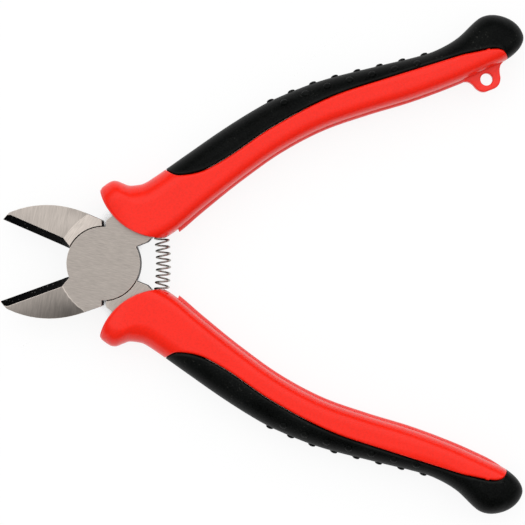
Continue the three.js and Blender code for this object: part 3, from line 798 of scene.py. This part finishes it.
def bump_skins(look):
    """Bumps: half ellipsoids standing on the cushion along its outer edge and on both faces, half a pitch
    apart."""
    radius, rise = look.bump_radius / MM, look.bump_height / MM
    whole = BUMP_START + BUMP_PITCH * np.arange(BUMP_COUNT)
    between = whole[:-1] + BUMP_PITCH / 2
    row = OUTER_SHARE * BUMP_ROW_ANGLE / QUARTER
    x = np.concatenate([whole, between, between])
    w = np.concatenate([np.zeros(len(whole)), np.full(2 * len(between), row)])
    face = np.concatenate([np.ones(len(whole) + len(between)), -np.ones(len(between))])
    foot, normal = grip_section(x, w, face)
    run = np.array([1.0, 0.0, 0.0])
    across = np.cross(normal, run)
    turn = np.linspace(0, FULL_TURN, BUMP_POINTS, endpoint=False)[None, :]
    climb = np.linspace(-BUMP_SINK, 1, BUMP_ROWS)[:, None] * QUARTER
    ring = np.concatenate([[[0.0]], radius * np.cos(climb)])
    high = rise * np.sin(np.concatenate([climb[:1], climb]))
    rub_and_sheen = BUMP_RUBBED * np.clip(high / rise, 0, 1)
    skins = []
    for at, out, aside in zip(foot, normal, across):
        dome = (
            at + (ring * np.cos(turn))[..., None] * run + (ring * np.sin(turn))[..., None] * aside
            + (high + 0 * turn)[..., None] * out
        )
        skins.append((dome, rub_and_sheen))
    return skins


def rivet_skin():
    """Rivet: a profile turned about the pivot axis, filling its countersink at the front face."""
    neck = HEAD_HALF - RIVET_HEAD_DEPTH
    profile = np.array([
        (0, HEAD_HALF), (RIVET_SINK_RADIUS, HEAD_HALF), (RIVET_RADIUS, neck), (RIVET_RADIUS, -neck),
        (RIVET_HEAD_RADIUS, RIVET_CHAMFER - HEAD_HALF), (RIVET_HEAD_RADIUS - RIVET_CHAMFER, -HEAD_HALF),
        (0, -HEAD_HALF),
    ])
    turn = np.linspace(0, FULL_TURN, RIVET_POINTS, endpoint=False)
    radius, height = profile[:, :1], profile[:, 1:]
    points = np.stack(np.broadcast_arrays(radius * np.cos(turn), radius * np.sin(turn), height), -1)
    return points * MM + np.array(PIVOT)


def spring_skin():
    """Spring: a round wire carried along a helix round a bowed axis, with a short straight end at each
    side."""
    coil_half = SPRING_HALF - 2 * SPRING_WIRE
    t = np.linspace(-1, 1, SPRING_TURNS * SPRING_STEPS + 1)
    turn = (t + 1) * SPRING_TURNS * math.pi
    middle = np.stack([SPRING_X + SPRING_BOW * (1 - t**2), coil_half * t, 0 * t], -1)
    aside = np.stack([np.full_like(t, coil_half), 2 * SPRING_BOW * t, 0 * t], -1)
    aside /= np.linalg.norm(aside, axis=1, keepdims=True)
    line = middle - SPRING_RADIUS * np.cos(turn)[:, None] * aside
    line[:, 2] = SPRING_RADIUS * np.sin(turn)
    first = line[0] + np.outer([-2 * SPRING_WIRE, -SPRING_WIRE], [0, 1, 0])
    last = line[-1] + np.outer([SPRING_WIRE, 2 * SPRING_WIRE], [0, 1, 0])
    line = np.concatenate([first, line, last])
    ahead = np.gradient(line, axis=0)
    ahead /= np.linalg.norm(ahead, axis=1, keepdims=True)
    out = line - np.stack([np.full(len(line), SPRING_X), line[:, 1], np.zeros(len(line))], -1)
    out -= ahead * np.sum(out * ahead, 1, keepdims=True)
    out /= np.linalg.norm(out, axis=1, keepdims=True)
    up = np.cross(ahead, out)
    around = np.linspace(0, FULL_TURN, WIRE_SIDES, endpoint=False)[None, :, None]
    ring = out[:, None] * np.cos(around) + up[:, None] * np.sin(around)
    wire = line[:, None] + SPRING_WIRE / 2 * ring
    start, end = (np.broadcast_to(point, (1, WIRE_SIDES, 3)) for point in (line[0], line[-1]))
    return np.concatenate([start, wire, end]) * MM + np.array(PIVOT)


def placed(points, lower):
    """Points from the closed position in millimetres to the open tool in metres: turned by the open
    angle about the pivot, turned over about X for the lower side, and set at the middle plane."""
    x, y, z = np.moveaxis(np.asarray(points, float), -1, 0)
    over = -1 if lower else 1
    turned = np.stack(
        [OPEN_COS * x - OPEN_SIN * y, over * (OPEN_SIN * x + OPEN_COS * y), over * z], -1)
    return turned * MM + np.array(PIVOT)


def ring_faces(rows, columns):
    """Four-sided faces over a grid of points whose rows are rings."""
    row = np.arange(rows - 1)[:, None] * columns
    after = row + columns
    here = np.arange(columns)[None, :]
    beside = (here + 1) % columns
    corners = np.broadcast_arrays(row + here, row + beside, after + beside, after + here)
    return np.stack(corners, -1).reshape(-1, 4)


def linked(name, data):
    """New object in the scene."""
    made = bpy.data.objects.new(name, data)
    bpy.context.scene.collection.objects.link(made)
    return made


def piece(name, grids, body, node, material, smooth_angle=35):
    """Mesh object from grids of points in metres, each with its shares of wear and painted sheen: doubles
    merged, faces turned out, shaded by angle. It rides on the body, if one is given."""
    points, shares, faces, count = [], [], [], 0
    for grid, rub_and_sheen in grids:
        rows, columns = grid.shape[:2]
        points.append(grid.reshape(-1, 3))
        shares.append(np.broadcast_to(rub_and_sheen, (rows, columns)).ravel())
        faces.append(ring_faces(rows, columns) + count)
        count += rows * columns
    mesh = bpy.data.meshes.new(name)
    mesh.from_pydata(np.concatenate(points), [], np.concatenate(faces))
    mesh.attributes.new("rub_and_sheen", "FLOAT", "POINT").data.foreach_set("value", np.concatenate(shares))
    work = bmesh.new()
    work.from_mesh(mesh)
    bmesh.ops.remove_doubles(work, verts=work.verts, dist=WELD)
    bmesh.ops.dissolve_degenerate(work, edges=work.edges, dist=NOTHING)
    bmesh.ops.recalc_face_normals(work, faces=work.faces)
    work.to_mesh(mesh)
    work.free()
    mesh.polygons.foreach_set("use_smooth", np.ones(len(mesh.polygons), bool))
    mesh.set_sharp_from_angle(angle=math.radians(smooth_angle))
    mesh.materials.append(material)
    made = linked(name, mesh)
    if body:
        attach(made, body)
    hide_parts(node)
    return made


def grip_piece(kind, lower, skins, material):
    """One moulded piece of a grip, placed on its side of the tool."""
    node = ("lower" if lower else "upper") + "_grip_" + kind
    grids = [(placed(points, lower), rub_and_sheen) for points, rub_and_sheen in skins]
    piece(node + "_moulded", grids, BACK if lower else FRONT, node, material)


def snap_to_head(mesh):
    """Sets the points that lie close to the head's front or back face on that face."""
    points = np.empty(3 * len(mesh.vertices))
    mesh.vertices.foreach_get("co", points)
    height = points[2::3] - PIVOT[2]
    near = np.abs(np.abs(height) - HEAD_HALF * MM) < SNAP * MM
    points[2::3][near] = PIVOT[2] + np.copysign(HEAD_HALF * MM, height[near])
    mesh.vertices.foreach_set("co", points)


def face_finish(face, over):
    """Finish of a steel face, from its middle and normal turned back to the closed position."""
    middle, normal = face.calc_center_median() / MM, face.normal
    on_jaw = OPEN_COS * middle.x + OPEN_SIN * over * middle.y < -JAW_START
    height = OPEN_COS * over * middle.y - OPEN_SIN * middle.x
    lean = OPEN_COS * over * normal.y - OPEN_SIN * normal.x
    if on_jaw and height > -BEVEL_WIDTH - BEVEL_SLACK and lean > BEVEL_LEAN:
        return BEVEL_FINISH
    if abs(normal.z) > FLAT:
        return FACE_FINISH
    if on_jaw or abs(normal.z) > FLANK:
        return FLANK_FINISH
    return RIM_FINISH


def edge_wear_and_highlight(edge, angle, highlit_crease):
    """Share of the rounding on a steel edge, which takes the worn finish with its painted highlight: all of
    it on a flank's crease, drawn there as a painted highlight line, some on corners, and none near the
    rivet."""
    if all(vert.co.xy.length < RIVET_REACH * MM for vert in edge.verts):
        return 0.0
    finishes = {face.material_index for face in edge.link_faces}
    if highlit_crease and finishes == {FACE_FINISH, FLANK_FINISH} and angle > CREASE:
        return 1.0
    return CORNER_SHARE * (angle > CORNER)


def finish_half(node, lower, look, materials):
    """Copy of a CAD half with merged points, rounded edges, and its faces sorted by how they are
    finished."""
    mesh = frame["nodes"][node].data.copy()
    mesh.name = node + "_ground"
    mesh.materials.clear()
    for material in materials:
        mesh.materials.append(material)
    snap_to_head(mesh)
    work = bmesh.new()
    work.from_mesh(mesh)
    bmesh.ops.remove_doubles(work, verts=work.verts, dist=MERGE * MM)
    bmesh.ops.dissolve_degenerate(work, edges=work.edges, dist=STEEL_NOTHING)
    bmesh.ops.dissolve_limit(
        work, angle_limit=FLUSH, verts=work.verts, edges=work.edges, use_dissolve_boundaries=False)
    for face in work.faces:
        face.smooth = True
        face.material_index = face_finish(face, -1 if lower else 1)
    worn = work.edges.layers.float.new("bevel_weight_edge")
    for edge in work.edges:
        angle = edge.calc_face_angle(0)
        by_flat = any(abs(face.normal.z) > FLAT for face in edge.link_faces)
        edge.smooth = not (angle > SHARP or (by_flat and angle > FLAT_SHARP))
        # The worn layer also carries the painted highlight: only the front half's crease gets the bright
        # line.
        edge[worn] = edge_wear_and_highlight(edge, angle, not lower)
    work.to_mesh(mesh)
    work.free()
    made = linked(node + "_ground", mesh)
    rounding = made.modifiers.new("Edge", "BEVEL")
    rounding.limit_method = "WEIGHT"
    rounding.width = look.edge_round
    rounding.use_clamp_overlap = False
    rounding.segments = 2
    rounding.material = WORN_HIGHLIGHT_FINISH
    rounding.harden_normals = True
    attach(made, BACK if lower else FRONT)
    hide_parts(node)


def lay_floor(stage, level):
    """Floor: paper that shows mostly plain white to the camera and in mirrors, keeps a faint shadow, and
    has painted shade: a near-black sheet where the tool closes over it."""
    mesh = bpy.data.meshes.new("floor")
    corners = [(x * FLOOR_REACH, y * FLOOR_REACH, level) for x, y in ((-1, -1), (1, -1), (1, 1), (-1, 1))]
    mesh.from_pydata(corners, [], [(0, 1, 2, 3)])
    paper = bpy.data.materials.new("floor_paper")
    graph = Graph(paper)
    lit = graph.node("ShaderNodeBsdfDiffuse", {}, {"Color": rgba(stage.floor_colour)})
    white = graph.node("ShaderNodeEmission", {}, {"Color": (1, 1, 1, 1), "Strength": 1.0})
    # Painted shade: a near-black sheet, shown by the occlusion share under the tool.
    dark = graph.node("ShaderNodeBsdfDiffuse", {}, {"Color": (0.01, 0.01, 0.01, 1)})
    path = graph.node("ShaderNodeLightPath", {}, {})
    seen, mirrored, passed = (
        graph.value(path, ray) for ray in ("Is Camera Ray", "Is Glossy Ray", "Is Transmission Ray"))
    shown = (seen + mirrored + passed).clipped(0, 1) * stage.floor_white
    cover = graph.node("ShaderNodeAmbientOcclusion", {"samples": COVER_RAYS}, {"Distance": COVER_REACH})
    open_share = graph.value(cover, "AO").smooth(*COVER_OPEN)
    both = graph.node("ShaderNodeMixShader", {}, {0: shown, 1: lit.outputs[0], 2: white.outputs[0]})
    whole = graph.node("ShaderNodeMixShader", {}, {0: open_share, 1: dark.outputs[0], 2: both.outputs[0]})
    graph.node("ShaderNodeOutputMaterial", {}, {"Surface": whole.outputs[0]})
    mesh.materials.append(paper)
    linked("floor", mesh)


def light_sky(stage):
    """Sky: an even low light, and a soft box overhead that fades to the front and to all sides."""
    world = bpy.data.worlds.new("studio")
    bpy.context.scene.world = world
    graph = Graph(world)
    place = graph.node("ShaderNodeTexCoord", {}, {})
    way = graph.node("ShaderNodeSeparateXYZ", {}, {0: place.outputs["Generated"]})
    box = graph.value(way, "Y").smooth(*BOX_FROM_FRONT) * graph.value(way, "Z").smooth(*BOX_FROM_LOW)
    strength = box * stage.sky_peak + stage.sky_low
    light = graph.node("ShaderNodeBackground", {}, {"Color": (1, 1, 1, 1), "Strength": strength})
    graph.node("ShaderNodeOutputWorld", {}, {"Surface": light.outputs[0]})


def hang_lamp(stage, target):
    """Broad overhead lamp for the matt surfaces; what the steel mirrors is the sky's soft box."""
    data = bpy.data.lights.new("overhead", "AREA")
    data.energy = stage.lamp_power
    data.size = LAMP_WIDTH
    lamp = linked("overhead", data)
    lamp.location = target + Vector((0, 0, LAMP_HEIGHT))
    lamp.visible_glossy = False
    lamp.visible_camera = False


def set_camera(stage, target):
    """Camera that looks straight down on the target."""
    data = bpy.data.cameras.new("camera")
    data.sensor_width = SENSOR_MM
    data.sensor_height = SENSOR_MM
    data.sensor_fit = "HORIZONTAL"
    data.lens = SENSOR_MM * stage.camera_distance / stage.frame_width
    data.clip_start = CLIP_START
    camera = linked("camera", data)
    camera.location = target + Vector((0, 0, stage.camera_distance))
    camera.rotation_euler = (0, 0, stage.camera_roll)
    bpy.context.scene.camera = camera


class CUTTERS_OT_halves(bpy.types.Operator):
    """Ground, hardened and forged faces on both steel halves"""

    bl_idname = "cutters.halves"
    bl_label = "Steel halves"

    def execute(self, context):
        look = context.scene.cutter_look
        steel = look.steel_colour
        disc = ground_steel("disc_steel", steel, DISC_RUN)
        land = ground_steel("land_steel", steel * LAND_LEVEL, LAND_RUN, tang=steel * TANG_LEVEL)
        shared = (
            ground_steel("flank_steel", steel, FLANK_RUN, run=0.05),
            near_black_bevel("bevel_steel", look.dark_colour),
            forged_rim("rim_steel"),
            worn_highlight_steel("worn_highlight_steel", steel),
        )
        finish_half("front_half", False, look, (disc, *shared))
        finish_half("back_half", True, look, (land, *shared))
        return {"FINISHED"}


class CUTTERS_OT_rivet(bpy.types.Operator):
    """Rivet, ground flush with the head"""

    bl_idname = "cutters.rivet"
    bl_label = "Pivot rivet"

    def execute(self, context):
        steel = bpy.data.materials["disc_steel"]
        piece("pivot_rivet_flush", [(rivet_skin(), 0)], FRONT, "pivot_rivet", steel)
        return {"FINISHED"}


class CUTTERS_OT_spring(bpy.types.Operator):
    """Opening spring, bending between the two sides"""

    bl_idname = "cutters.spring"
    bl_label = "Opening spring"

    def execute(self, context):
        made = piece(
            "opening_spring_wire", [(spring_skin(), 0)], None, "opening_spring",
            drawn_wire("spring_wire"), smooth_angle=60)
        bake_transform(made)
        return {"FINISHED"}


class CUTTERS_OT_bodies(bpy.types.Operator):
    """Hard grip bodies with rib, and the hang loop on the upper one"""

    bl_idname = "cutters.bodies"
    bl_label = "Grip bodies"

    def execute(self, context):
        look = context.scene.cutter_look
        plastic = moulded_plastic("body_plastic", look.body_colour)
        skin = body_skin(look)
        grip_piece("body", False, [skin, loop_skin()], plastic)
        grip_piece("body", True, [skin], plastic)
        return {"FINISHED"}


class CUTTERS_OT_cushions(bpy.types.Operator):
    """Soft cushions with their rows of bumps"""

    bl_idname = "cutters.cushions"
    bl_label = "Grip cushions"

    def execute(self, context):
        look = context.scene.cutter_look
        rubber = soft_rubber("cushion_rubber", look.cushion_colour)
        skins = [cushion_skin(look), *bump_skins(look)]
        for lower in (False, True):
            grip_piece("cushion", lower, skins, rubber)
        return {"FINISHED"}


class CUTTERS_OT_stage(bpy.types.Operator):
    """Pale floor, soft light and the camera"""

    bl_idname = "cutters.stage"
    bl_label = "Stage"

    def execute(self, context):
        stage = context.scene.stage_look
        target = Vector((*stage.frame_centre, PIVOT[2]))
        lay_floor(stage, CAD_BOX[0][2] - FLOOR_GAP)
        light_sky(stage)
        hang_lamp(stage, target)
        set_camera(stage, target)
        context.scene.view_settings.view_transform = "Standard"
        return {"FINISHED"}


class CUTTERS_PT_panel(bpy.types.Panel):
    """Lists the tool's pieces and its looks"""

    bl_label = "Side cutters"
    bl_idname = "CUTTERS_PT_panel"
    bl_space_type = "VIEW_3D"
    bl_region_type = "UI"
    bl_category = "Cutters"

    def draw(self, context):
        for look in (context.scene.cutter_look, context.scene.stage_look):
            for name in look.__annotations__:
                self.layout.prop(look, name)
        for operator in OPERATORS:
            self.layout.operator(operator.bl_idname)


OPERATORS = (
    CUTTERS_OT_halves, CUTTERS_OT_rivet, CUTTERS_OT_spring, CUTTERS_OT_bodies, CUTTERS_OT_cushions,
    CUTTERS_OT_stage,
)
CLASSES = (CutterLook, StageLook, *OPERATORS, CUTTERS_PT_panel)


def register():
    """Adds the classes, and the two groups of settings to the scene."""
    for cls in CLASSES:
        bpy.utils.register_class(cls)
    bpy.types.Scene.cutter_look = bpy.props.PointerProperty(type=CutterLook)
    bpy.types.Scene.stage_look = bpy.props.PointerProperty(type=StageLook)


def unregister():
    """Takes out what register adds."""
    del bpy.types.Scene.stage_look
    del bpy.types.Scene.cutter_look
    for cls in reversed(CLASSES):
        bpy.utils.unregister_class(cls)


def main():
    """Builds every piece in order."""
    register()
    bpy.ops.cutters.halves()
    bpy.ops.cutters.rivet()
    bpy.ops.cutters.spring()
    bpy.ops.cutters.bodies()
    bpy.ops.cutters.cushions()
    bpy.ops.cutters.stage()
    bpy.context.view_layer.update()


if __name__ == "__main__":
    main()
